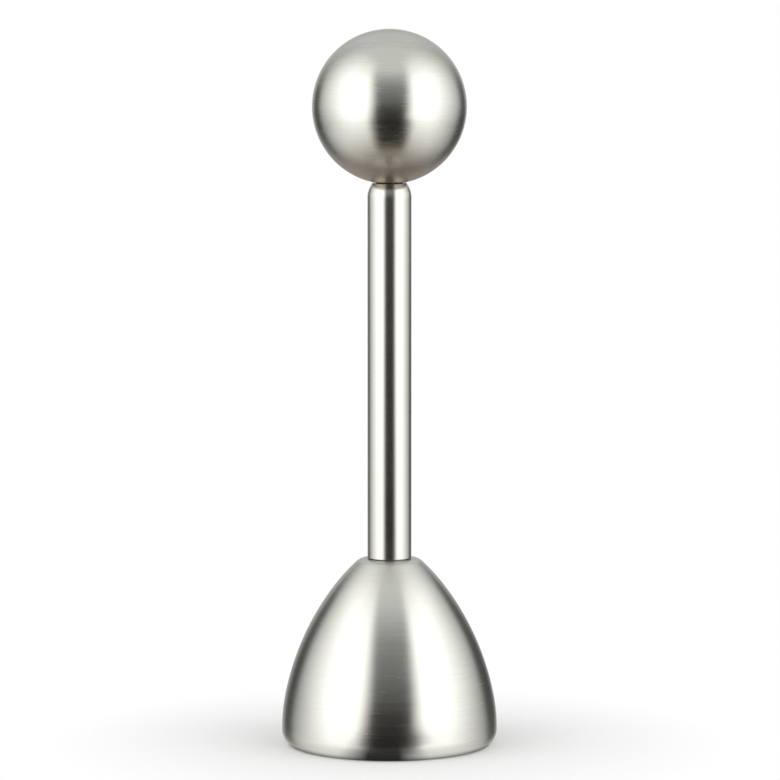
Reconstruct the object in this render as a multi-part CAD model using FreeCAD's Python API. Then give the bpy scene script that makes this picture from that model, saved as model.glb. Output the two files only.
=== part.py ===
import FreeCAD, Part
import math
import os
from FreeCAD import Vector

# A spring-loaded egg topper. The bell sits on the egg. The ball lifts a hammer inside the tube against a
# spring, and when it is let go the hammer strikes the anvil above the bell, which rings a crack round the shell.
#
# Millimetres. The origin is the centre of the bell's rim, in the plane that it stands on, and +Z runs up the
# axis. Every piece is turned about that axis.

# Bell: a drawn cup whose lip turns in under it.
BELL_RADIUS = 19.65
BELL_WIDEST_Z = 2.9
BELL_HEIGHT = 34.2
BELL_WALL = 1.2
RIM_RADIUS = 17.7
LIP_RADIUS = 16.7
LIP_ROUND = 0.35
# Each arc of the bell's side, going up: its radius, and the lean from upright at its end, in degrees.
BELL_ARCS = ((32.4, 11.5), (48.8, 36.3))
SHOULDER_RADIUS = 36.9
CROWN_ROUND = 2.2

# Handle tube, swaged in at its top to hold the guide bush.
TUBE_RADIUS = 4.0
TUBE_WALL = 0.7
TUBE_TOP = 102.65
NOSE_DEPTH = 2.6
NOSE_BEND = 4.3
MOUTH_RADIUS = 2.5
TUBE_BORE = TUBE_RADIUS - TUBE_WALL
TUBE_END_BREAK = 0.2

# Ball, solid, with a small flat turned on its underside.
BALL_RADIUS = 14.0
BALL_FLAT_RADIUS = 3.2
BALL_GAP = 0.2
BALL_HOLE_DEPTH = 12.0

# Striker: the rod carries the ball at one end and the hammer at the other.
ROD_RADIUS = 1.5
ROD_CHAMFER = 0.3
ROD_FIT = 0.05
HAMMER_RADIUS = 3.2
HAMMER_LENGTH = 11.0
HAMMER_HOLE_DEPTH = 8.0
HAMMER_CHAMFER = 0.5
LOCK_NUT_FLATS = 5.5
LOCK_NUT_HEIGHT = 1.8
ROD_END_GAP = 0.5

# Spring and what it bears on.
SPRING_WIRE = 0.65
SPRING_RADIUS = 2.75
SPRING_TURNS = 20
WASHER_RADIUS = 3.1
WASHER_THICKNESS = 0.5

# Guide bush: a shouldered bush under the nose, with a spigot that lines its mouth and stands a little proud of it.
BUSH_LENGTH = 3.6
SPIGOT_RADIUS = 2.45
SPIGOT_STAND = 0.1
BUSH_CHAMFER = 0.3

# Anvil plug in the tube's foot, and the screw that holds the bell to it.
PLUG_LENGTH = 9.0
PLUG_CHAMFER = 0.3
PLUG_HOLE_DEPTH = 6.4
SCREW_RADIUS = 2.0
SCREW_LENGTH = 8.0
SCREW_HOLE_RADIUS = 2.15
SCREW_HEAD_RADIUS = 3.8
SCREW_HEAD_HEIGHT = 2.2
SCREW_HEAD_EDGE = 0.7
SOCKET_FLATS = 2.5
SOCKET_DEPTH = 1.3
LOCK_WASHER_RADIUS = 3.8
LOCK_WASHER_HOLE = 2.1
LOCK_WASHER_THICKNESS = 0.9
LOCK_WASHER_SPLIT = 0.8

# Heights that follow from the sizes above, in the order in which the pieces stack up.
CROWN_UNDERSIDE = BELL_HEIGHT - BELL_WALL
SCREW_SEAT = CROWN_UNDERSIDE - LOCK_WASHER_THICKNESS
ANVIL_FACE = BELL_HEIGHT + PLUG_LENGTH
HAMMER_TOP = ANVIL_FACE + HAMMER_LENGTH
LOCK_NUT_TOP = HAMMER_TOP + LOCK_NUT_HEIGHT
SPRING_FOOT = LOCK_NUT_TOP + WASHER_THICKNESS
NOSE_BASE = TUBE_TOP - NOSE_DEPTH
BUSH_FOOT = NOSE_BASE - BUSH_LENGTH
SPRING_HEAD = BUSH_FOOT - WASHER_THICKNESS
BALL_FLAT_Z = TUBE_TOP + BALL_GAP
BALL_CENTRE_Z = BALL_FLAT_Z + math.sqrt(BALL_RADIUS**2 - BALL_FLAT_RADIUS**2)
FULL_TURN = 360
HEX_SIDES = 6


def point(radius, height):
    return Vector(radius, 0, height)


def lines(*corners):
    """Straight edges from corner to corner, each given as radius and height."""
    return [Part.LineSegment(point(*a), point(*b)).toShape() for a, b in zip(corners, corners[1:])]


def arc(centre, radius, start_deg, end_deg):
    """An arc in the half plane of the profile. Angles are measured up from the radial direction."""
    angles = [math.radians(a) for a in (start_deg, (start_deg + end_deg) / 2, end_deg)]
    along = [centre + point(radius * math.cos(a), radius * math.sin(a)) for a in angles]
    return Part.Arc(*along).toShape()


def quarter_ellipse(centre, long_end, short_end):
    """The quarter of an ellipse between the ends of its long and its short half axis."""
    ellipse = Part.Ellipse(point(*long_end), point(*short_end), point(*centre))
    return Part.ArcOfEllipse(ellipse, 0, math.pi / 2).toShape()


def turned(edges):
    """The solid that a closed profile sweeps in one turn about the axis."""
    face = Part.Face(Part.Wire(Part.__sortEdges__(edges)))
    return face.revolve(Vector(0, 0, 0), Vector(0, 0, 1), FULL_TURN)


def turned_outline(*corners):
    return turned(lines(*corners, corners[0]))


def hex_prism(across_flats, foot, height):
    corner = across_flats / 2 / math.cos(math.pi / HEX_SIDES)
    steps = [2 * math.pi * i / HEX_SIDES for i in range(HEX_SIDES + 1)]
    ring = [Vector(corner * math.cos(a), corner * math.sin(a), foot) for a in steps]
    return Part.Face(Part.makePolygon(ring)).extrude(Vector(0, 0, height))


def washer(outer, hole, foot, thickness):
    return turned_outline((hole, foot), (outer, foot), (outer, foot + thickness), (hole, foot + thickness))


def bell_side(inset):
    """The bell's side from its widest point, and round into its crown, moved into the wall by inset.

    Returns the edges and the radius at which they meet the crown.
    """
    crown = BELL_HEIGHT - inset
    crown_round = CROWN_ROUND - inset
    corner = point(BELL_RADIUS - inset, BELL_WIDEST_Z)
    lean = 0.0
    edges = []
    for arc_radius, lean_end in BELL_ARCS + ((SHOULDER_RADIUS, None),):
        bend = arc_radius - inset
        centre = corner - bend * point(math.cos(math.radians(lean)), math.sin(math.radians(lean)))
        if lean_end is None:
            lean_end = math.degrees(math.asin((crown - crown_round - centre.z) / (bend - crown_round)))
        edges.append(arc(centre, bend, lean, lean_end))
        lean = lean_end
        outward = point(math.cos(math.radians(lean)), math.sin(math.radians(lean)))
        corner = centre + bend * outward
    round_centre = corner - crown_round * outward
    edges.append(arc(round_centre, crown_round, lean, 90))
    return edges, round_centre.x


def make_bell():
    outside, crown_edge = bell_side(0)
    inside, hollow_edge = bell_side(BELL_WALL)
    crown = lines(
        (crown_edge, BELL_HEIGHT),
        (SCREW_HOLE_RADIUS, BELL_HEIGHT),
        (SCREW_HOLE_RADIUS, CROWN_UNDERSIDE),
        (hollow_edge, CROWN_UNDERSIDE),
    )
    turn_centre = (RIM_RADIUS, BELL_WIDEST_Z)
    turn_under = quarter_ellipse(turn_centre, (RIM_RADIUS, 0), (BELL_RADIUS, BELL_WIDEST_Z))
    turn_within = quarter_ellipse(turn_centre, (RIM_RADIUS, BELL_WALL), (BELL_RADIUS - BELL_WALL, BELL_WIDEST_Z))
    lip_face = LIP_RADIUS + LIP_ROUND
    lip = lines((RIM_RADIUS, BELL_WALL), (lip_face, BELL_WALL))
    lip.append(arc(point(lip_face, BELL_WALL - LIP_ROUND), LIP_ROUND, 90, 180))
    lip += lines((LIP_RADIUS, BELL_WALL - LIP_ROUND), (LIP_RADIUS, LIP_ROUND))
    lip.append(arc(point(lip_face, LIP_ROUND), LIP_ROUND, 180, 270))
    lip += lines((lip_face, 0), (RIM_RADIUS, 0))
    return turned(outside + crown + inside + [turn_under, turn_within] + lip)


def make_handle_tube():
    """The tube, whose wall keeps its thickness where it bends in to the nose. The mouth is bored straight."""
    bend_centre = point(TUBE_RADIUS - NOSE_BEND, NOSE_BASE)
    inner_bend = NOSE_BEND - TUBE_WALL
    nose_deg = math.degrees(math.asin(NOSE_DEPTH / NOSE_BEND))
    mouth_deg = math.degrees(math.acos((MOUTH_RADIUS - bend_centre.x) / inner_bend))
    outer = arc(bend_centre, NOSE_BEND, 0, nose_deg)
    inner = arc(bend_centre, inner_bend, 0, mouth_deg)
    edges = lines(
        (TUBE_BORE, NOSE_BASE),
        (TUBE_BORE, BELL_HEIGHT),
        (TUBE_RADIUS - TUBE_END_BREAK, BELL_HEIGHT),
        (TUBE_RADIUS, BELL_HEIGHT + TUBE_END_BREAK),
        (TUBE_RADIUS, NOSE_BASE),
    )
    edges += lines(
        (bend_centre.x + NOSE_BEND * math.cos(math.radians(nose_deg)), TUBE_TOP),
        (MOUTH_RADIUS, TUBE_TOP),
        (MOUTH_RADIUS, NOSE_BASE + inner_bend * math.sin(math.radians(mouth_deg))),
    )
    return turned(edges + [outer, inner])


def make_guide_bush():
    bore = ROD_RADIUS + ROD_FIT
    return turned_outline(
        (bore, BUSH_FOOT),
        (TUBE_BORE - BUSH_CHAMFER, BUSH_FOOT),
        (TUBE_BORE, BUSH_FOOT + BUSH_CHAMFER),
        (TUBE_BORE, NOSE_BASE),
        (SPIGOT_RADIUS, NOSE_BASE),
        (SPIGOT_RADIUS, TUBE_TOP + SPIGOT_STAND),
        (bore, TUBE_TOP + SPIGOT_STAND),
    )


def make_ball_knob():
    hole_top = BALL_FLAT_Z + BALL_HOLE_DEPTH
    flat_deg = -math.degrees(math.acos(BALL_FLAT_RADIUS / BALL_RADIUS))
    edges = [arc(point(0, BALL_CENTRE_Z), BALL_RADIUS, flat_deg, 90)]
    edges += lines(
        (BALL_FLAT_RADIUS, BALL_FLAT_Z),
        (ROD_RADIUS, BALL_FLAT_Z),
        (ROD_RADIUS, hole_top),
        (0, hole_top),
        (0, BALL_CENTRE_Z + BALL_RADIUS),
    )
    return turned(edges)


def make_striker_rod():
    foot = HAMMER_TOP - HAMMER_HOLE_DEPTH + ROD_END_GAP
    head = BALL_FLAT_Z + BALL_HOLE_DEPTH - ROD_END_GAP
    return turned_outline(
        (0, foot),
        (ROD_RADIUS - ROD_CHAMFER, foot),
        (ROD_RADIUS, foot + ROD_CHAMFER),
        (ROD_RADIUS, head - ROD_CHAMFER),
        (ROD_RADIUS - ROD_CHAMFER, head),
        (0, head),
    )


def make_hammer():
    hole_foot = HAMMER_TOP - HAMMER_HOLE_DEPTH
    return turned_outline(
        (0, ANVIL_FACE),
        (HAMMER_RADIUS - HAMMER_CHAMFER, ANVIL_FACE),
        (HAMMER_RADIUS, ANVIL_FACE + HAMMER_CHAMFER),
        (HAMMER_RADIUS, HAMMER_TOP - HAMMER_CHAMFER),
        (HAMMER_RADIUS - HAMMER_CHAMFER, HAMMER_TOP),
        (ROD_RADIUS, HAMMER_TOP),
        (ROD_RADIUS, hole_foot),
        (0, hole_foot),
    )


def make_hammer_lock_nut():
    hole = Part.makeCylinder(ROD_RADIUS, LOCK_NUT_HEIGHT, point(0, HAMMER_TOP))
    return hex_prism(LOCK_NUT_FLATS, HAMMER_TOP, LOCK_NUT_HEIGHT).cut(hole)


def make_return_spring():
    """An open coil between the two washers, one wire radius clear of each at its middle line."""
    coil_height = SPRING_HEAD - SPRING_FOOT - SPRING_WIRE
    coil = Part.makeHelix(coil_height / SPRING_TURNS, coil_height, SPRING_RADIUS)
    section = Part.Wire(Part.makeCircle(SPRING_WIRE / 2, point(SPRING_RADIUS, 0), Vector(0, 1, 0)))
    spring = Part.Wire(coil.Edges).makePipeShell([section], True, True)
    spring.translate(point(0, SPRING_FOOT + SPRING_WIRE / 2))
    return spring


def make_anvil_plug():
    hole_top = BELL_HEIGHT + PLUG_HOLE_DEPTH
    return turned_outline(
        (SCREW_RADIUS, BELL_HEIGHT),
        (TUBE_BORE, BELL_HEIGHT),
        (TUBE_BORE, ANVIL_FACE - PLUG_CHAMFER),
        (TUBE_BORE - PLUG_CHAMFER, ANVIL_FACE),
        (0, ANVIL_FACE),
        (0, hole_top),
        (SCREW_RADIUS, hole_top),
    )


def make_bell_screw():
    """A dome-headed screw, up through the crown from inside the bell, with a hexagon socket."""
    head_foot = SCREW_SEAT - SCREW_HEAD_HEIGHT
    dome_height = SCREW_HEAD_HEIGHT - SCREW_HEAD_EDGE
    dome_radius = (SCREW_HEAD_RADIUS**2 + dome_height**2) / (2 * dome_height)
    dome_deg = math.degrees(math.acos(SCREW_HEAD_RADIUS / dome_radius))
    dome = arc(point(0, head_foot + dome_radius), dome_radius, -90, -dome_deg)
    end = SCREW_SEAT + SCREW_LENGTH
    edges = [dome] + lines(
        (SCREW_HEAD_RADIUS, SCREW_SEAT - SCREW_HEAD_EDGE),
        (SCREW_HEAD_RADIUS, SCREW_SEAT),
        (SCREW_RADIUS, SCREW_SEAT),
        (SCREW_RADIUS, end - PLUG_CHAMFER),
        (SCREW_RADIUS - PLUG_CHAMFER, end),
        (0, end),
        (0, head_foot),
    )
    return turned(edges).cut(hex_prism(SOCKET_FLATS, head_foot, SOCKET_DEPTH))


def make_lock_washer():
    ring = washer(LOCK_WASHER_RADIUS, LOCK_WASHER_HOLE, SCREW_SEAT, LOCK_WASHER_THICKNESS)
    corner = Vector(0, -LOCK_WASHER_SPLIT / 2, SCREW_SEAT)
    split = Part.makeBox(LOCK_WASHER_RADIUS + 1, LOCK_WASHER_SPLIT, LOCK_WASHER_THICKNESS, corner)
    return ring.cut(split)


def make_spring_top_washer():
    return washer(WASHER_RADIUS, ROD_RADIUS + ROD_FIT, SPRING_HEAD, WASHER_THICKNESS)


def make_spring_seat_washer():
    return washer(WASHER_RADIUS, ROD_RADIUS + ROD_FIT, LOCK_NUT_TOP, WASHER_THICKNESS)


PIECES = {
    "bell": make_bell,
    "handle_tube": make_handle_tube,
    "guide_bush": make_guide_bush,
    "anvil_plug": make_anvil_plug,
    "bell_screw": make_bell_screw,
    "lock_washer": make_lock_washer,
    "spring_top_washer": make_spring_top_washer,
    "return_spring": make_return_spring,
    "spring_seat_washer": make_spring_seat_washer,
    "hammer": make_hammer,
    "hammer_lock_nut": make_hammer_lock_nut,
    "striker_rod": make_striker_rod,
    "ball_knob": make_ball_knob,
}

os.makedirs("parts", exist_ok=True)
for name, make in PIECES.items():
    make().Solids[0].exportStep(f"parts/{name}.step")
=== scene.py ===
import bpy, math
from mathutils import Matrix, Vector


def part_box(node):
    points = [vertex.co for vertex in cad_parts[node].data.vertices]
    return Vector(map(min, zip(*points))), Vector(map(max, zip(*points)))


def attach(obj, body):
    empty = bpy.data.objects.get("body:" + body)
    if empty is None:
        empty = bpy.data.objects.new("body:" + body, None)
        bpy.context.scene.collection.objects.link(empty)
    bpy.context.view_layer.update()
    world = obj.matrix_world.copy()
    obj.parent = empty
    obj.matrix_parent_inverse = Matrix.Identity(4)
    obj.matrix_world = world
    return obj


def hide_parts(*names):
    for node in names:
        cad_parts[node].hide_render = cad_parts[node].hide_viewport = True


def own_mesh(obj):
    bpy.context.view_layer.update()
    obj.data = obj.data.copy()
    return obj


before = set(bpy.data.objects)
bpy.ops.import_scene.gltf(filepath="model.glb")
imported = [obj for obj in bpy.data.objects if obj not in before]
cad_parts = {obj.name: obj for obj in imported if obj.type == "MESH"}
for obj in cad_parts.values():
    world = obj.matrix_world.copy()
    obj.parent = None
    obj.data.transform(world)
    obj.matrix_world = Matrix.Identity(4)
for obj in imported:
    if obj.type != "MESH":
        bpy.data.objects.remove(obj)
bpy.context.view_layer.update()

# Egg topper on a plain pale floor. Metres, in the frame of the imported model: origin at the centre of the
# bell's rim, +Z up the axis.

MM = 0.001
TURN = 2 * math.pi


# --- Camera ------------------------------------------------------------------------------------------------

CAMERA_DISTANCE = 0.900
CAMERA_ELEVATION_DEG = 6.2
CAMERA_LENS_MM = 228.7
AIM = Vector((0.0001, 0, 0.0650))


def make_camera():
    data = bpy.data.cameras.new("camera")
    data.lens = CAMERA_LENS_MM
    data.sensor_width = 36.0
    data.clip_start = 0.01
    data.clip_end = 50.0
    camera = linked("camera", data)
    lift = math.radians(CAMERA_ELEVATION_DEG)
    back = Vector((0, -math.cos(lift), math.sin(lift)))
    camera.location = AIM + back * CAMERA_DISTANCE
    camera.rotation_euler = (math.pi / 2 - lift, 0, 0)
    bpy.context.scene.camera = camera


# --- Outlines: lists of (radius, height) for a half profile ------------------------------------------------

SAME_SPOT = 1e-7


def arc(centre, radius, start_deg, end_deg, steps):
    """Points on a circle, with angles measured up from the radial direction."""
    return ellipse(centre, radius, radius, start_deg, end_deg, steps)


def ellipse(centre, half_width, half_height, start_deg, end_deg, steps):
    angles = [math.radians(start_deg + (end_deg - start_deg) * i / steps) for i in range(steps + 1)]
    return [(centre[0] + half_width * math.cos(a), centre[1] + half_height * math.sin(a)) for a in angles]


def straight(start, end, steps=1):
    """Points from start to end, both included."""
    return [tuple(a + (b - a) * i / steps for a, b in zip(start, end)) for i in range(steps + 1)]


def eased(corners, radius, steps=4):
    """The corners joined by straight lines, each corner but the end ones rounded by about that radius."""
    out = [corners[0]]
    for before, corner, after in zip(corners, corners[1:], corners[2:]):
        corner = Vector(corner)
        to_before = Vector(before) - corner
        to_after = Vector(after) - corner
        back = radius / math.tan(to_before.angle(to_after) / 2)
        back = min(back, to_before.length / 2, to_after.length / 2)
        start = corner + to_before.normalized() * back
        end = corner + to_after.normalized() * back
        for i in range(steps + 1):
            t = i / steps
            out.append(tuple(start * (1 - t) ** 2 + corner * 2 * t * (1 - t) + end * t ** 2))
    return out + [corners[-1]]


def joined(*runs):
    """Runs of points end to end, with no point twice."""
    out = []
    for spot in (p for run in runs for p in run):
        if not out or math.dist(out[-1], spot) > SAME_SPOT:
            out.append(spot)
    return out


# --- Meshes ------------------------------------------------------------------------------------------------

SIDES = 192
SHARP_DEG = 35


def linked(name, data):
    thing = bpy.data.objects.new(name, data)
    bpy.context.scene.collection.objects.link(thing)
    return thing


def smooth_piece(name, verts, faces, places):
    """A piece that is smooth but for its hard edges, with a UV place for each corner of each face."""
    mesh = bpy.data.meshes.new(name)
    mesh.from_pydata(verts, [], faces)
    layer = mesh.uv_layers.new(name="OFBake")
    layer.uv.foreach_set("vector", [x for place in places for x in place])
    mesh.shade_smooth()
    mesh.set_sharp_from_angle(angle=math.radians(SHARP_DEG))
    mesh.validate()
    return linked(name, mesh)


def hexagon_reach(angle, half_flats):
    """How far a hexagon's side is from its middle at an angle, from half its width across flats."""
    return half_flats / math.cos((angle + TURN / 12) % (TURN / 6) - TURN / 12)


def lathe(name, outline, ring=False, hexagonal=()):
    """A piece turned about the axis from an outline, which a ring closes on itself.

    Its UV map runs round the axis along U and along the outline along V. The outline's points whose numbers
    are in hexagonal lie on a hexagon, and their radius is half its width across flats.
    """
    spots = outline + outline[:1] if ring else outline
    lengths = [0.0]
    for a, b in zip(spots, spots[1:]):
        lengths.append(lengths[-1] + math.dist(a, b))
    verts, rows = [], []
    for index, (radius, height) in enumerate(outline):
        if radius < SAME_SPOT:
            rows.append([len(verts)] * SIDES)
            verts.append((0.0, 0.0, height))
            continue
        rows.append(range(len(verts), len(verts) + SIDES))
        for i in range(SIDES):
            angle = TURN * i / SIDES
            reach = hexagon_reach(angle, radius) if index in hexagonal else radius
            verts.append((reach * math.cos(angle), reach * math.sin(angle), height))
    if ring:
        rows.append(rows[0])
    faces, places = [], []
    for j, (low, high) in enumerate(zip(rows, rows[1:])):
        v0, v1 = lengths[j] / lengths[-1], lengths[j + 1] / lengths[-1]
        for i in range(SIDES):
            k = (i + 1) % SIDES
            u0, u1 = i / SIDES, (i + 1) / SIDES
            corners = [(low[i], u0, v0), (low[k], u1, v0), (high[k], u1, v1), (high[i], u0, v1)]
            if low[i] == low[k]:
                corners = [(low[i], (u0 + u1) / 2, v0)] + corners[2:]
            elif high[i] == high[k]:
                corners = corners[:2] + [(high[i], (u0 + u1) / 2, v1)]
            faces.append([c[0] for c in corners])
            places += [c[1:] for c in corners]
    return smooth_piece(name, verts, faces, places)


SKIN_WIDTH = 0.90
CAP_PLACES = ((0.95, 0.25), (0.95, 0.75))
CAP_RADIUS = 0.04


def skinned(name, loops):
    """A piece through closed loops of points, one after another, with flat ends.

    In its UV map the skin takes U up to SKIN_WIDTH, and the two ends are circles beside it.
    """
    count, gaps = len(loops[0]), len(loops) - 1
    verts = [v for loop in loops for v in loop]
    faces, places = [], []
    for j in range(gaps):
        v0, v1 = j / gaps, (j + 1) / gaps
        for i in range(count):
            k = (i + 1) % count
            u0, u1 = SKIN_WIDTH * i / count, SKIN_WIDTH * (i + 1) / count
            faces.append((j * count + k, j * count + i, (j + 1) * count + i, (j + 1) * count + k))
            places += [(u1, v0), (u0, v0), (u0, v1), (u1, v1)]
    last = len(verts) - 1
    caps = (range(count), range(last, last - count, -1))
    for row, (u, v) in zip(caps, CAP_PLACES):
        faces.append(tuple(row))
        for i in row:
            angle = TURN * (i % count) / count
            places.append((u + CAP_RADIUS * math.cos(angle), v + CAP_RADIUS * math.sin(angle)))
    return smooth_piece(name, verts, faces, places)


# --- Node trees --------------------------------------------------------------------------------------------

WHITE = (1.0, 1.0, 1.0, 1.0)


class Shader:
    """A short way to build a material's or world's nodes. Each call adds a node and returns its output."""

    def __init__(self, owner):
        owner.use_nodes = True
        self.owner = owner
        self.tree = owner.node_tree
        self.tree.nodes.clear()

    def add(self, kind, output=0, settings=None, **inputs):
        """An input is named by its label, with _ for a space, or by _ and its number."""
        node = self.tree.nodes.new(kind)
        for key, value in (settings or {}).items():
            setattr(node, key, value)
        for key, value in inputs.items():
            self.feed(node.inputs[int(key[1:]) if key[0] == "_" else key.replace("_", " ")], value)
        return node.outputs[output]

    def feed(self, socket, value):
        if isinstance(value, bpy.types.NodeSocket):
            self.tree.links.new(value, socket)
        else:
            socket.default_value = value

    def maths(self, operation, a, b=0.0, c=0.0):
        return self.add("ShaderNodeMath", settings={"operation": operation}, _0=a, _1=b, _2=c)

    def total(self, first, *others):
        for other in others:
            first = self.maths("ADD", first, other)
        return first

    def product(self, first, *others):
        for other in others:
            first = self.maths("MULTIPLY", first, other)
        return first

    def ranged(self, value, low, high, to_low, to_high, kind="LINEAR"):
        """value carried from low..high to to_low..to_high, and held at those ends."""
        return self.add(
            "ShaderNodeMapRange",
            settings={"interpolation_type": kind},
            _0=value, _1=low, _2=high, _3=to_low, _4=to_high,
        )

    def spread(self, value, amount):
        """A noise of mean 0.5 as an offset of mean 0 whose whole width is amount."""
        return self.product(self.maths("SUBTRACT", value, 0.5), amount)

    def mixed(self, share, a, b):
        return self.add("ShaderNodeMix", settings={"data_type": "FLOAT"}, _0=share, _2=a, _3=b)

    def mixed_colour(self, share, a, b, blend_type="MIX"):
        settings = {"data_type": "RGBA", "blend_type": blend_type}
        return self.add("ShaderNodeMix", output=2, settings=settings, _0=share, _6=a, _7=b)

    def position(self):
        return self.add("ShaderNodeTexCoord", output="Object")

    def coordinates(self):
        """The position's x, y and z."""
        return self.add("ShaderNodeSeparateXYZ", output=slice(None), _0=self.position())

    def curve(self, value, stops):
        """value carried along straight lines between stops of (value, result), the first of them at 0."""
        reach = stops[-1][0]
        scale = max(1.0, max(result for at, result in stops))
        node = self.tree.nodes.new("ShaderNodeFloatCurve")
        self.feed(node.inputs["Value"], self.maths("DIVIDE", value, reach))
        points = node.mapping.curves[0].points
        while len(points) < len(stops):
            points.new(0.5, 0.5)
        for spot, (at, result) in zip(points, stops):
            spot.location = (at / reach, result / scale)
            spot.handle_type = "VECTOR"
        node.mapping.update()
        return self.product(node.outputs[0], scale)

    def finish(self, surface, kind="ShaderNodeOutputMaterial"):
        """The material or world itself, with surface as what it shows."""
        self.add(kind, output=slice(None), Surface=surface)
        return self.owner


def off_axis(s):
    x, y, _ = s.coordinates()
    return s.maths("SQRT", s.total(s.product(x, x), s.product(y, y)))


NEAR_AXIS = 1e-5


def ring_noise(s, fine, around, detail=2.0, rough=0.5):
    """Noise of rings about the axis, with fine cells per metre across the rings.

    Along a ring it has as many cells as a circle of radius around is long.
    """
    x, y, z = s.coordinates()
    radius = off_axis(s)
    safe = s.maths("MAXIMUM", radius, NEAR_AXIS)
    across = s.product(s.maths("DIVIDE", x, safe), around)
    along = s.product(s.maths("DIVIDE", y, safe), around)
    return s.add(
        "ShaderNodeTexNoise",
        settings={"noise_dimensions": "4D"},
        Vector=s.add("ShaderNodeCombineXYZ", X=s.product(radius, fine), Y=s.product(z, fine), Z=across),
        W=along, Scale=1.0, Detail=detail, Roughness=rough,
    )


def cloud_noise(s, cells_per_metre, detail=3.0):
    return s.add("ShaderNodeTexNoise", Vector=s.position(), Scale=cells_per_metre, Detail=detail)


# --- Materials ---------------------------------------------------------------------------------------------

# A mark or scratch grows as its noise goes from the first of its LEVELS to the second.

STEEL_COLOUR = (0.520, 0.520, 0.482)
LINES_AROUND = 1.6
LINE_ROUGHNESS = 0.7
BANDS_PER_MM = 0.55
BANDS_AROUND = 0.9
BAND_ROUGHNESS = 0.04
BAND_SHADE = 0.03
MARKS_PER_METRE = 95.0
MARK_LEVELS = (0.52, 0.72)
MARK_ROUGHNESS = 0.02
SCRATCHES_PER_MM = 4.0
SCRATCHES_AROUND = 3.2
SCRATCH_LEVELS = (0.60, 0.80)
SCRATCHES_FROM_AXIS = (6.0 * MM, 11.0 * MM)
# What a painted brown reflection leaves of the steel's green and blue.
PAINTED_REFLECTION_GREEN = 0.90
PAINTED_REFLECTION_BLUE = 0.84
GRAINS_PER_METRE = 3000.0
GRAIN_ROUGHNESS = 0.15


def turned_steel(
    name, roughness, anisotropy, line_depth, colour=STEEL_COLOUR, contrast=0.10, lines_per_mm=4.0,
    scratches=0.065, dull=None, painted_brown_reflection=None, edge=0.50,
):
    """Stainless steel finished on a lathe: fine rings, faint bands, short scratches and handling marks.

    contrast is how far the fine rings differ in shade, and LINE_ROUGHNESS of that is how far they differ in
    roughness. scratches is how much rougher the scratches are, which fade out towards the axis. dull is
    (low, high, gain at low, gain at high): how much rougher the steel is at two heights, next to the tube,
    where the polishing wheel doesn't reach as well. painted_brown_reflection is (low, high): a painted brown
    reflection in the same place, full at low and gone at high. edge is the level that grazing reflections
    keep, so that outlines stay dark enough to show against white.
    """
    s = Shader(bpy.data.materials.new(name))
    height = s.coordinates()[2]
    lines = ring_noise(s, lines_per_mm / MM, LINES_AROUND, detail=2.0, rough=0.6)
    bands = ring_noise(s, BANDS_PER_MM / MM, BANDS_AROUND, detail=3.0)
    marks = cloud_noise(s, MARKS_PER_METRE)
    scratch = ring_noise(s, SCRATCHES_PER_MM / MM, SCRATCHES_AROUND, detail=1.0)
    scratch = s.ranged(scratch, *SCRATCH_LEVELS, 0.0, 1.0)
    scratch = s.product(scratch, s.ranged(off_axis(s), *SCRATCHES_FROM_AXIS, 0.0, 1.0))

    rough = s.total(
        roughness,
        s.spread(lines, LINE_ROUGHNESS * contrast),
        s.spread(bands, BAND_ROUGHNESS),
        s.ranged(marks, *MARK_LEVELS, 0.0, MARK_ROUGHNESS),
        s.product(scratch, scratches),
    )
    if dull:
        rough = s.total(rough, s.ranged(height, *dull, kind="SMOOTHSTEP"))

    shade = s.total(1.0, s.spread(lines, contrast), s.spread(bands, BAND_SHADE))
    green, blue = shade, shade
    # A painted brown reflection: green and blue are lowered between two heights, fully at the lower one and
    # not at all at the upper one.
    if painted_brown_reflection:
        green = s.product(shade, s.ranged(height, *painted_brown_reflection, PAINTED_REFLECTION_GREEN, 1.0, kind="SMOOTHSTEP"))
        blue = s.product(shade, s.ranged(height, *painted_brown_reflection, PAINTED_REFLECTION_BLUE, 1.0, kind="SMOOTHSTEP"))
    ring_tone_and_painted_reflection = s.add("ShaderNodeCombineColor", Red=shade, Green=green, Blue=blue)
    steel = s.add(
        "ShaderNodeBsdfPrincipled",
        Base_Color=s.mixed_colour(1.0, (*colour, 1.0), ring_tone_and_painted_reflection, "MULTIPLY"),
        Metallic=1.0,
        Roughness=rough,
        Normal=s.add("ShaderNodeBump", Height=lines, Strength=1.0, Distance=line_depth),
        Tangent=s.add("ShaderNodeTangent", settings={"direction_type": "RADIAL", "axis": "Z"}),
        Anisotropic=anisotropy,
        Anisotropic_Rotation=0.25,
        Specular_Tint=(edge, edge, edge, 1.0),
    )
    return s.finish(steel)


def moulded_plastic(name, colour, roughness):
    s = Shader(bpy.data.materials.new(name))
    grain = cloud_noise(s, GRAINS_PER_METRE, detail=2.0)
    plastic = s.add(
        "ShaderNodeBsdfPrincipled",
        Base_Color=(*colour, 1.0),
        Roughness=s.total(roughness, s.spread(grain, GRAIN_ROUGHNESS)),
        Normal=s.add("ShaderNodeBump", Height=grain, Strength=0.4, Distance=0.02 * MM),
        IOR=1.48,
    )
    return s.finish(plastic)


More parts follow.
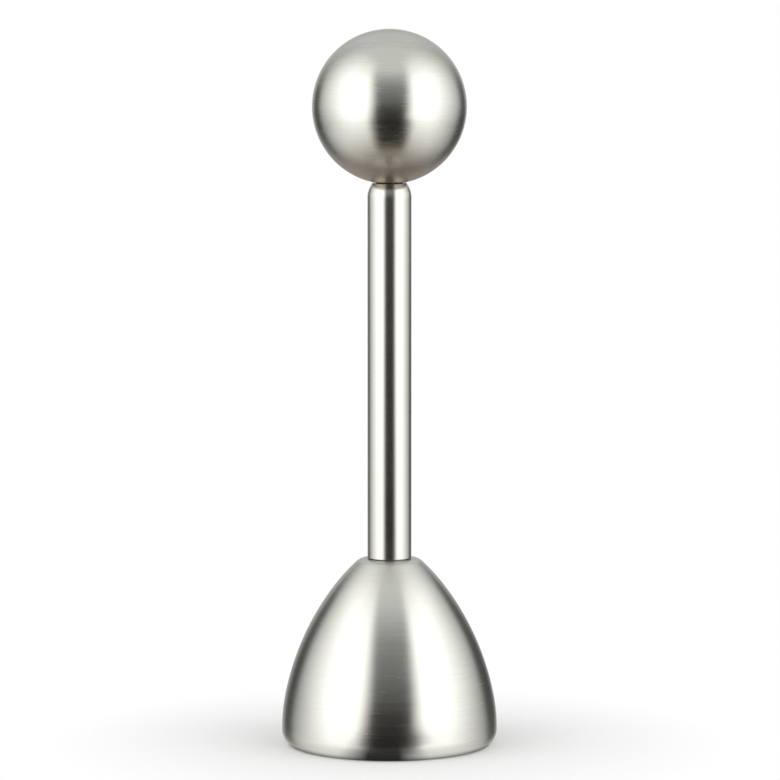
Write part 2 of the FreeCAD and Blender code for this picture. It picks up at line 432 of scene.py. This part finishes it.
STEELS = {
    "ball_steel": dict(
        roughness=0.225, anisotropy=0.40, line_depth=0.0003 * MM, contrast=0.17, scratches=0.11,
        # The second pair of heights gives the ball's underside a painted brown reflection.
        dull=(103.5 * MM, 109.0 * MM, 0.13, 0.0), painted_brown_reflection=(104.5 * MM, 109.5 * MM),
    ),
    "bell_steel": dict(
        roughness=0.215, anisotropy=0.45, line_depth=0.0003 * MM, contrast=0.12,
        dull=(29.0 * MM, 34.0 * MM, 0.0, 0.10),
    ),
    "tube_steel": dict(roughness=0.235, anisotropy=0.25, line_depth=0.0003 * MM, contrast=0.05, edge=0.75),
    "rod_steel": dict(roughness=0.16, anisotropy=0.25, line_depth=0.0005 * MM, contrast=0.06),
    "inner_steel": dict(roughness=0.33, anisotropy=0.4, line_depth=0.0020 * MM, lines_per_mm=2.5),
    "fastener_steel": dict(roughness=0.30, anisotropy=0.3, line_depth=0.0015 * MM),
    "spring_wire": dict(roughness=0.24, anisotropy=0.0, line_depth=0.0010 * MM, colour=(0.50, 0.495, 0.47)),
}
MATERIALS = {slot: turned_steel(slot, **settings) for slot, settings in STEELS.items()}
MATERIALS["bush_acetal"] = moulded_plastic("bush_acetal", colour=(0.020, 0.020, 0.022), roughness=0.42)


def place(piece, body, slot, *nodes):
    """The piece wears its slot's material, rides on a body and stands for the CAD nodes."""
    piece.data.materials.append(MATERIALS[slot])
    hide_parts(*nodes)
    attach(piece, body)


# --- Bell --------------------------------------------------------------------------------------------------

BELL_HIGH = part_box("bell")[1]
BELL_RADIUS = BELL_HIGH.x
BELL_HEIGHT = BELL_HIGH.z
BELL_WIDEST = 2.9 * MM
BELL_WALL = 1.2 * MM
RIM_RADIUS = 17.7 * MM
LIP_RADIUS = 16.7 * MM
LIP_ROUND = 0.35 * MM
# The side's arcs from its widest point up, as (radius, lean in degrees at its end). The shoulder's follows.
BELL_ARCS = ((32.4 * MM, 11.5), (48.8 * MM, 36.3))
SHOULDER_RADIUS = 36.9 * MM
CROWN_ROUND = 2.2 * MM
CROWN_UNDERSIDE = BELL_HEIGHT - BELL_WALL
SCREW_HOLE_RADIUS = 2.15 * MM
HOLE_EASE = 0.1 * MM


def bell_side(inset, step=0.5 * MM):
    """The bell's side from its widest point, and round into its crown, moved into the wall by inset."""
    crown_round = CROWN_ROUND - inset
    corner = Vector((BELL_RADIUS - inset, BELL_WIDEST))
    lean_deg = 0.0
    runs = []
    for arc_radius, end_deg in BELL_ARCS + ((SHOULDER_RADIUS, None),):
        bend = arc_radius - inset
        lean = math.radians(lean_deg)
        centre = corner - bend * Vector((math.cos(lean), math.sin(lean)))
        if end_deg is None:
            rise = BELL_HEIGHT - inset - crown_round - centre.y
            end_deg = math.degrees(math.asin(rise / (bend - crown_round)))
        steps = round(bend * math.radians(end_deg - lean_deg) / step)
        runs.append(arc(centre, bend, lean_deg, end_deg, steps))
        corner = Vector(runs[-1][-1])
        lean_deg = end_deg
    lean = math.radians(lean_deg)
    round_centre = corner - crown_round * Vector((math.cos(lean), math.sin(lean)))
    runs.append(arc(round_centre, crown_round, lean_deg, 90, steps=10))
    return joined(*runs)


def make_bell():
    outside = bell_side(0)
    inside = bell_side(BELL_WALL)
    hole = [
        (TUBE_RADIUS, BELL_HEIGHT),
        (SCREW_HOLE_RADIUS, BELL_HEIGHT),
        (SCREW_HOLE_RADIUS, CROWN_UNDERSIDE),
        inside[-1],
    ]
    turn_centre = (RIM_RADIUS, BELL_WIDEST)
    turn_width = BELL_RADIUS - RIM_RADIUS
    turn_under = ellipse(turn_centre, turn_width, BELL_WIDEST, -90, 0, steps=14)
    turn_within = ellipse(turn_centre, turn_width - BELL_WALL, BELL_WIDEST - BELL_WALL, 0, -90, steps=10)
    lip_face = LIP_RADIUS + LIP_ROUND
    lip = arc((lip_face, BELL_WALL - LIP_ROUND), LIP_ROUND, 90, 180, steps=6)
    lip += arc((lip_face, LIP_ROUND), LIP_ROUND, 180, 270, steps=6)
    outline = joined(turn_under, outside, eased(hole, HOLE_EASE)[:-1], reversed(inside), turn_within, lip)
    place(lathe("bell_shell", outline, ring=True), "handle", "bell_steel", "bell")


# --- Handle tube -------------------------------------------------------------------------------------------

TUBE_LOW, TUBE_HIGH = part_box("handle_tube")
TUBE_RADIUS = TUBE_HIGH.x
TUBE_TOP = TUBE_HIGH.z
TUBE_FOOT = TUBE_LOW.z
TUBE_WALL = 0.7 * MM
TUBE_BORE = TUBE_RADIUS - TUBE_WALL
NOSE_DEPTH = 2.6 * MM
NOSE_BEND = 4.3 * MM
NOSE_BASE = TUBE_TOP - NOSE_DEPTH
MOUTH_RADIUS = 2.5 * MM
MOUTH_EASE = 0.1 * MM
EDGE_BREAK = 0.2 * MM


def make_tube():
    bend_centre = (TUBE_RADIUS - NOSE_BEND, NOSE_BASE)
    inner_bend = NOSE_BEND - TUBE_WALL
    nose_deg = math.degrees(math.asin(NOSE_DEPTH / NOSE_BEND))
    mouth_deg = math.degrees(math.acos((MOUTH_RADIUS - bend_centre[0]) / inner_bend))
    outside = straight((TUBE_RADIUS - EDGE_BREAK, TUBE_FOOT), (TUBE_RADIUS, TUBE_FOOT + EDGE_BREAK))
    outside += straight((TUBE_RADIUS, TUBE_FOOT + EDGE_BREAK), (TUBE_RADIUS, NOSE_BASE), steps=80)
    nose = arc(bend_centre, NOSE_BEND, 0, nose_deg, steps=20)
    within = arc(bend_centre, inner_bend, mouth_deg, 0, steps=10)
    mouth = eased([nose[-2], nose[-1], (MOUTH_RADIUS, TUBE_TOP), within[0]], MOUTH_EASE)[1:-1]
    inside = straight((TUBE_BORE, NOSE_BASE), (TUBE_BORE, TUBE_FOOT), steps=40)
    outline = joined(outside, nose[:-1], mouth, within, inside)
    place(lathe("tube_shell", outline, ring=True), "handle", "tube_steel", "handle_tube")


# --- Ball, rod and guide bush ------------------------------------------------------------------------------

BALL_LOW, BALL_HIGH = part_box("ball_knob")
BALL_RADIUS = BALL_HIGH.x
BALL_FLAT_RADIUS = 3.2 * MM
BALL_FLAT_EASE = 0.12 * MM
BALL_HOLE_DEPTH = 12.0 * MM
ROD_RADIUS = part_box("striker_rod")[1].x
ROD_CLEARANCE = 0.05 * MM
EASE = 0.08 * MM


def make_ball():
    centre = (0.0, BALL_HIGH.z - BALL_RADIUS)
    flat_deg = -math.degrees(math.acos(BALL_FLAT_RADIUS / BALL_RADIUS))
    shell = arc(centre, BALL_RADIUS, flat_deg, 90, steps=120)
    shell[-1] = (0.0, BALL_HIGH.z)
    hole_top = BALL_LOW.z + BALL_HOLE_DEPTH
    hole = [(0.0, hole_top)] + straight((ROD_RADIUS, hole_top), (ROD_RADIUS, BALL_LOW.z), steps=8)
    base = eased([(ROD_RADIUS, BALL_LOW.z), (BALL_FLAT_RADIUS, BALL_LOW.z), shell[1]], BALL_FLAT_EASE)
    place(lathe("ball", joined(hole, base, shell[1:])), "striker", "ball_steel", "ball_knob")


def make_rod():
    low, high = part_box("striker_rod")
    chamfer = 0.3 * MM
    corners = [
        (0.0, low.z),
        (ROD_RADIUS - chamfer, low.z),
        (ROD_RADIUS, low.z + chamfer),
        (ROD_RADIUS, high.z - chamfer),
        (ROD_RADIUS - chamfer, high.z),
        (0.0, high.z),
    ]
    place(lathe("rod", eased(corners, EASE)), "striker", "rod_steel", "striker_rod")


def make_bush():
    low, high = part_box("guide_bush")
    bore = ROD_RADIUS + ROD_CLEARANCE
    spigot = 2.45 * MM
    chamfer = 0.3 * MM
    half_way = (bore, (low.z + high.z) / 2)
    corners = [
        half_way,
        (bore, low.z),
        (TUBE_BORE - chamfer, low.z),
        (TUBE_BORE, low.z + chamfer),
        (TUBE_BORE, NOSE_BASE),
        (spigot, NOSE_BASE),
        (spigot, high.z),
        (bore, high.z),
        half_way,
    ]
    outline = joined(eased(corners, EASE))[:-1]
    place(lathe("bush", outline, ring=True), "handle", "bush_acetal", "guide_bush")


# --- Screw and lock washer ---------------------------------------------------------------------------------

WASHER_THICKNESS = 0.9 * MM


def make_screw():
    """A domed screw, head down, with a hexagonal socket in its head."""
    low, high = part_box("bell_screw")
    head = high.x
    seat = CROWN_UNDERSIDE - WASHER_THICKNESS
    head_side = 0.7 * MM
    head_ease = 0.15 * MM
    shank = 2.0 * MM
    tip = 0.3 * MM
    flats = 1.25 * MM
    socket_mouth = 1.6 * MM
    socket_floor = low.z + 1.3 * MM
    drill_radius = 0.95 * flats
    drill_point = 0.35 * MM
    mouth_chamfer = 0.1 * MM
    dome_steps = 20
    rise = seat - head_side - low.z
    bend = (head ** 2 + rise ** 2) / (2 * rise)
    radii = [socket_mouth + (head - socket_mouth) * i / dome_steps for i in range(dome_steps + 1)]
    dome = [(r, low.z + bend - math.sqrt(bend ** 2 - r ** 2)) for r in radii]
    socket = [
        (0.0, socket_floor + drill_point),
        (drill_radius, socket_floor),
        (flats, socket_floor),
        (flats, dome[0][1] + mouth_chamfer),
    ]
    rim = eased([dome[-2], dome[-1], (head, seat), (shank, seat)], head_ease)[1:]
    stem = eased([(shank, seat), (shank, high.z - tip), (shank - tip, high.z), (0.0, high.z)], EASE)
    outline = joined(socket, dome[:-1], rim, stem)
    place(lathe("screw", outline, hexagonal=(2, 3)), "handle", "fastener_steel", "bell_screw")


def make_lock_washer():
    """A split spring washer. The faces of its split are parallel, so each point has its own first angle."""
    low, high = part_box("lock_washer")
    outer, hole = -low.x, 2.1 * MM
    half_split = 0.4 * MM
    corner_ease = 0.12 * MM
    middle = ((hole + outer) / 2, low.z)
    corners = [middle, (outer, low.z), (outer, high.z), (hole, high.z), (hole, low.z), middle]
    section = joined(eased(corners, corner_ease))[:-1]
    steps = 120
    loops = []
    for j in range(steps + 1):
        loop = []
        for r, z in section:
            first = math.asin(half_split / r)
            angle = first + (TURN - 2 * first) * j / steps
            loop.append((r * math.cos(angle), r * math.sin(angle), z))
        loops.append(loop)
    place(skinned("washer_split", loops), "handle", "fastener_steel", "lock_washer")


# --- Return spring -----------------------------------------------------------------------------------------

SPRING_WIRE = 0.65 * MM
SPRING_RADIUS = 2.75 * MM
SPRING_TURNS = 20
SPRING_END_TURNS = 1.25
SPRING_STEPS = 48
SPRING_SIDES = 14


def spring_height(turn, length):
    """The height of the wire's middle above the foot: closed turns at both ends, even pitch between."""
    ends = SPRING_END_TURNS
    start = 0.25 * SPRING_WIRE
    closed = start + ends * SPRING_WIRE
    if turn <= ends:
        return start + turn * SPRING_WIRE
    if turn >= SPRING_TURNS - ends:
        return length - start - (SPRING_TURNS - turn) * SPRING_WIRE
    return closed + (length - 2 * closed) * (turn - ends) / (SPRING_TURNS - 2 * ends)


def make_spring():
    """The return spring, with its ends closed and ground flat.

    Each height is averaged over the steps near it, so that the pitch changes smoothly.
    """
    low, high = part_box("return_spring")
    foot, length = low.z, high.z - low.z
    wire = SPRING_WIRE / 2
    heights = [spring_height(i / SPRING_STEPS, length) for i in range(SPRING_TURNS * SPRING_STEPS + 1)]
    near = SPRING_STEPS // 3
    loops = []
    for i in range(len(heights)):
        middle = heights[i]
        if near <= i < len(heights) - near:
            middle = sum(heights[i - near:i + near + 1]) / (2 * near + 1)
        angle = TURN * i / SPRING_STEPS
        loop = []
        for k in range(SPRING_SIDES):
            turn = TURN * k / SPRING_SIDES
            r = SPRING_RADIUS + wire * math.cos(turn)
            z = foot + min(max(middle + wire * math.sin(turn), 0.0), length)
            loop.append((r * math.cos(angle), r * math.sin(angle), z))
        loops.append(loop)
    spring = skinned("spring_coil", loops)
    place(spring, "handle", "spring_wire", "return_spring")
    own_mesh(spring)


# --- Pieces that keep their CAD mesh -----------------------------------------------------------------------

INNER_NODES = {
    "anvil_plug": "inner_steel",
    "spring_top_washer": "fastener_steel",
    "spring_seat_washer": "fastener_steel",
    "hammer": "inner_steel",
    "hammer_lock_nut": "fastener_steel",
}


def dress_inner_nodes():
    for node, slot in INNER_NODES.items():
        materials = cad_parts[node].data.materials
        materials.clear()
        materials.append(MATERIALS[slot])


# --- Studio ------------------------------------------------------------------------------------------------
#
# Azimuth 0 is the camera's side and grows to the right. Two softboxes and the world light the object. Steel
# shows little but what it reflects, so it also stands on a table in a light tent, which only reflections
# see. The tent has bright sides that fade towards the back, a dark opening for the camera and two dark
# edges at the back. The table is darkest in front, and glows under the bell. The floor is clear from below,
# so that the inside of the bell can be looked at.

WORLD_FILL = 0.66
PANEL_DISTANCE = 0.50
PANEL_SIZE = (0.62, 0.66)
PANEL_RADIANCE = 1.2
FLOOR_COLOUR = (0.95, 0.95, 0.945, 1.0)
FLOOR_DROP = 0.02 * MM
FLOOR_SIZE = 8.0
# From the first of these distances to the second, the floor fades from what the light makes of it to white.
FLOOR_FADE = (0.018, 0.062)


def seen_directly(s):
    """1 where a camera, glossy or transmission ray looks, and 0 for the rays that carry the light."""
    camera, glossy, through = (
        s.add("ShaderNodeLightPath", output=f"Is {ray} Ray") for ray in ("Camera", "Glossy", "Transmission")
    )
    return s.maths("MAXIMUM", s.maths("MAXIMUM", camera, glossy), through)


def make_world():
    s = Shader(bpy.data.worlds.new("studio"))
    level = s.ranged(seen_directly(s), 0.0, 1.0, WORLD_FILL, 1.0)
    back = s.add("ShaderNodeBackground", Color=WHITE, Strength=level)
    bpy.context.scene.world = s.finish(back, "ShaderNodeOutputWorld")


def softbox(name, azimuth_deg):
    """An upright soft panel that stands on the floor and faces the object."""
    az = math.radians(azimuth_deg)
    light = bpy.data.lights.new(name, "AREA")
    light.shape = "RECTANGLE"
    light.size, light.size_y = PANEL_SIZE
    light.energy = PANEL_RADIANCE * math.pi * PANEL_SIZE[0] * PANEL_SIZE[1]
    lamp = linked(name, light)
    lamp.location = (PANEL_DISTANCE * math.sin(az), -PANEL_DISTANCE * math.cos(az), PANEL_SIZE[1] / 2)
    lamp.rotation_euler = (math.pi / 2, 0, az)
    lamp.visible_camera = lamp.visible_glossy = False


def stage_mesh(name, verts, faces):
    mesh = bpy.data.meshes.new(name)
    mesh.from_pydata(verts, [], faces)
    piece = linked(name, mesh)
    return piece


def stage_plane(name, size, height):
    half = size / 2
    corners = [(-half, -half, 0), (half, -half, 0), (half, half, 0), (-half, half, 0)]
    plane = stage_mesh(name, corners, [(0, 1, 2, 3)])
    plane.location.z = height
    return plane


def only_reflected(piece):
    piece.visible_camera = piece.visible_diffuse = piece.visible_shadow = piece.visible_transmission = False


def make_floor():
    """A pale floor that keeps the object's shadow, and fades to the white background away from it."""
    floor = stage_plane("floor", FLOOR_SIZE, -FLOOR_DROP)
    s = Shader(bpy.data.materials.new("floor"))
    lit = s.add("ShaderNodeBsdfDiffuse", Color=FLOOR_COLOUR)
    white = s.add("ShaderNodeEmission", Color=WHITE, Strength=1.0)
    share = s.product(seen_directly(s), s.ranged(off_axis(s), *FLOOR_FADE, 0.0, 1.0))
    surface = s.add("ShaderNodeMixShader", _0=share, _1=lit, _2=white)
    underside = s.add("ShaderNodeNewGeometry", output="Backfacing")
    from_below = s.product(underside, s.add("ShaderNodeLightPath", output="Is Camera Ray"))
    clear = s.add("ShaderNodeBsdfTransparent")
    floor.data.materials.append(s.finish(s.add("ShaderNodeMixShader", _0=from_below, _1=surface, _2=clear)))


def bearing(s, centre_deg=0.0):
    """Where a point lies round the axis, in degrees, with 180 at that azimuth and 0 and 360 opposite it."""
    x, y, _ = s.coordinates()
    turn = s.product(s.maths("ARCTAN2", x, s.product(y, -1.0)), 180 / math.pi)
    return s.maths("WRAP", s.total(s.maths("SUBTRACT", turn, centre_deg), 180.0), 360.0, 0.0)


def azimuth_from(s, centre_deg):
    """How far round the axis a point lies from that azimuth, in degrees, without its sign."""
    return s.maths("ABSOLUTE", s.maths("SUBTRACT", bearing(s, centre_deg), 180.0))


# The tent. WALL_LOW, WALL_HIGH, WALL_TOP and BACK_SHADE_RAMP are by the azimuth from the camera, in degrees,
# and its other curves and ramps are by height. A RAMP is (low, high, result at low, result at high). Each
# of BACK_EDGES is (azimuth, how much wider it is near the floor). BACK_EDGE_DEG and OPENING_DEG are how far
# from its middle an edge or the opening starts to fade, and where it is gone.

TENT_RADIUS = 0.45
TENT_HEIGHT = 1.30
TENT_SIDES = 96
NEAR_FLOOR_RAMP = (0.02, 0.12, 1, 0)
WALL_LOW = ((0, 2.3), (66, 2.3), (118, 0.90), (135, 0.90), (152, 1.25), (180, 1.3))
WALL_HIGH = ((0, 2.3), (74, 2.3), (120, 1.1), (142, 1.0), (156, 1.2), (180, 1.2))
LOW_TO_HIGH_RAMP = (0.12, 0.38, 0, 1)
WALL_TOP = ((0, 1.04), (80, 1.04), (145, 0.86), (180, 0.86))
WALL_SHARE = ((0, 1), (0.42, 1), (0.62, 0.6), (0.90, 0.3), (TENT_HEIGHT, 0))
BACK_SHADE_RAMP = (62, 115, 0, 0.27)
BACK_EDGES = ((-138, 1.0), (141, 4.5))
BACK_EDGE_DEG = (6, 19)
BACK_EDGE_LEVEL = ((0, 0.17), (0.16, 0.20), (0.30, 0.80), (0.90, 1.0), (TENT_HEIGHT, 1.0))
OPENING_LEVEL = (
    (0, 0.03), (0.10, 0.06), (0.20, 0.21), (0.42, 0.38), (0.70, 0.93), (0.90, 1.03), (TENT_HEIGHT, 1.03)
)
OPENING_DEG = (20, 35)
OPENING_MIDDLE_RAMP = (0.05, 0.14, 0.5, 2.5)
OPENING_WIDER_RAMP = (0.22, 0.90, 0, 14)
OPENING_WARM_RAMP = (0.08, 0.20, 1, 0)
OPENING_TINT = (1.0, 0.94, 0.88, 1.0)


def tent_wall(s, height):
    """The level of the tent's wall, with its two dark edges at the back."""
    turn = azimuth_from(s, 0)
    near_floor = s.ranged(height, *NEAR_FLOOR_RAMP)
    side = s.mixed(s.ranged(height, *LOW_TO_HIGH_RAMP), s.curve(turn, WALL_LOW), s.curve(turn, WALL_HIGH))
    side = s.mixed(s.product(near_floor, s.ranged(turn, *BACK_SHADE_RAMP)), side, 0.0)
    wall = s.mixed(s.curve(height, WALL_SHARE), s.curve(turn, WALL_TOP), side)
    edge = 0.0
    for azimuth_deg, widening in BACK_EDGES:
        off_edge = s.maths("SUBTRACT", azimuth_from(s, azimuth_deg), s.product(near_floor, widening))
        edge = s.total(edge, s.ranged(off_edge, *BACK_EDGE_DEG, 1, 0))
    return s.mixed(edge, wall, s.product(s.curve(height, BACK_EDGE_LEVEL), wall))


def make_tent():
    verts = []
    for i in range(TENT_SIDES):
        az = TURN * i / TENT_SIDES
        verts += [(TENT_RADIUS * math.sin(az), -TENT_RADIUS * math.cos(az), z) for z in (0.0, TENT_HEIGHT)]
    faces = []
    for i in range(TENT_SIDES):
        k = (i + 1) % TENT_SIDES
        faces.append((2 * i, 2 * k, 2 * k + 1, 2 * i + 1))
    tent = stage_mesh("tent", verts, faces)
    s = Shader(bpy.data.materials.new("tent"))
    height = s.coordinates()[2]
    from_middle = azimuth_from(s, s.ranged(height, *OPENING_MIDDLE_RAMP))
    wider_above = s.ranged(height, *OPENING_WIDER_RAMP)
    opening = s.ranged(s.maths("SUBTRACT", from_middle, wider_above), *OPENING_DEG, 1, 0)
    level = s.mixed(opening, tent_wall(s, height), s.curve(height, OPENING_LEVEL))
    warmth = s.product(opening, s.ranged(height, *OPENING_WARM_RAMP))
    tint = s.mixed_colour(warmth, WHITE, OPENING_TINT)
    tent.data.materials.append(s.finish(s.add("ShaderNodeEmission", Color=tint, Strength=level)))
    only_reflected(tent)


# The table. TABLE_ROUND, RIGHT_SHADE_RAMP and HOLLOW_ROUND are by bearing, in degrees, FRONT_SHINE_RAMP is
# by slant, from 0 facing to 1 grazing, and its other curves and ramps are by distance from the axis.
# FRONT_DEG is how far from its middle the dark front starts to fade, and where it is gone. FRONT_GLOSS is
# how much of the shine the front keeps.

TABLE_SIZE = 3.0
TABLE_SIDES = (
    (0, 0.40), (0.0190, 0.40), (0.0194, 1.25), (0.0215, 0.92), (0.0235, 0.80), (0.027, 0.72), (0.036, 0.44),
    (0.072, 0.66), (0.15, 0.88), (0.5, 0.9),
)
TABLE_ROUND = (
    (0, 0.45), (30, 0.48), (44, 0.38), (60, 0.50), (88, 1.0), (260, 1.0), (312, 0.20), (324, 0.24),
    (336, 0.45), (360, 0.45),
)
RIGHT_SHADE_RAMP = (215, 250, 0, 0.3)
RIGHT_SHADE_STARTS_RAMP = (0.0215, 0.024, 0, 1)
RIGHT_SHADE_ENDS_RAMP = (0.026, 0.040, 1, 0)
FRONT_DEG = (9, 27)
FRONT_MIDDLE_RAMP = (0.030, 0.045, -3.5, 2.5)
FRONT_WIDER_RAMP = (0.028, 0.040, 0, 12)
FRONT_LEVEL = (
    (0, 0.04), (0.0235, 0.04), (0.0265, 0.20), (0.035, 0.45), (0.058, 0.45), (0.072, 0.24), (0.090, 0.04),
    (0.5, 0.04),
)
SIDES_BROWN = ((0, 0), (0.028, 0), (0.036, 0.5), (0.10, 0.4), (0.16, 0), (0.5, 0))
FRONT_BROWN = ((0, 0), (0.028, 0), (0.036, 1), (0.20, 1), (0.30, 0), (0.5, 0))
TABLE_TINT = (1.0, 0.98, 0.95, 1.0)
TABLE_BROWN = (1.0, 0.85, 0.69, 1.0)
HOLLOW_ROUND = ((0, 0.8), (60, 2.2), (130, 2.5), (200, 1.7), (270, 0.9), (360, 0.8))
HOLLOW_RAMP = (0.002, 0.015, 0.60, 1.2)
SHINE_ROUGHNESS = 0.12
SHINE_POWER = 1.1
FRONT_SHINE_RAMP = (0.50, 0.66, 0, 1)
FRONT_GLOSS = 0.15


def make_table():
    """What the steel sees below it: a table that glows, and reflects the tent towards grazing.

    Its front is dark, apart from a brown ring, and it glows under the bell as well, for views from below.
    """
    table = stage_plane("table", TABLE_SIZE, -FLOOR_DROP / 2)
    s = Shader(bpy.data.materials.new("table"))
    away = off_axis(s)
    turn = bearing(s)

    # All of it but the front, with a shade on the right near the rim.
    sides = s.product(s.curve(away, TABLE_SIDES), s.curve(turn, TABLE_ROUND))
    right_shade = s.product(s.ranged(turn, *RIGHT_SHADE_RAMP), s.ranged(away, *RIGHT_SHADE_STARTS_RAMP))
    right_shade = s.product(right_shade, s.ranged(away, *RIGHT_SHADE_ENDS_RAMP))
    sides = s.mixed(right_shade, sides, 0.0)

    # The front, which is wider and further right beyond the rim, and what is brown.
    middle_deg = s.ranged(away, *FRONT_MIDDLE_RAMP)
    wider_beyond = s.ranged(away, *FRONT_WIDER_RAMP)
    front = s.ranged(s.maths("SUBTRACT", azimuth_from(s, middle_deg), wider_beyond), *FRONT_DEG, 1, 0)
    level = s.mixed(front, sides, s.curve(away, FRONT_LEVEL))
    brown = s.mixed(front, s.curve(away, SIDES_BROWN), s.curve(away, FRONT_BROWN))

    # The glow under the bell.
    hollow = s.product(s.curve(turn, HOLLOW_ROUND), s.ranged(away, *HOLLOW_RAMP))
    level = s.mixed(s.ranged(away, LIP_RADIUS, LIP_RADIUS + LIP_ROUND, 1, 0), level, hollow)
    tint = s.mixed_colour(brown, TABLE_TINT, TABLE_BROWN)
    glow = s.add("ShaderNodeEmission", Color=tint, Strength=level)

    # The shine, which takes over towards grazing.
    gloss = s.add("ShaderNodeBsdfGlossy", Color=s.mixed(front, 1.0, FRONT_GLOSS), Roughness=SHINE_ROUGHNESS)
    slant = s.add("ShaderNodeLayerWeight", output="Facing", Blend=0.5)
    front_share = s.product(front, s.ranged(slant, *FRONT_SHINE_RAMP))
    share = s.maths("MAXIMUM", s.maths("POWER", slant, SHINE_POWER), front_share)
    table.data.materials.append(s.finish(s.add("ShaderNodeMixShader", _0=share, _1=glow, _2=gloss)))
    only_reflected(table)


def make_studio():
    bpy.context.scene.view_settings.view_transform = "Standard"
    make_world()
    make_floor()
    make_table()
    make_tent()
    softbox("softbox_left", -60)
    softbox("softbox_right", 60)


make_camera()
make_studio()
make_bell()
make_tube()
make_bush()
make_rod()
make_ball()
make_screw()
make_lock_washer()
make_spring()
dress_inner_nodes()
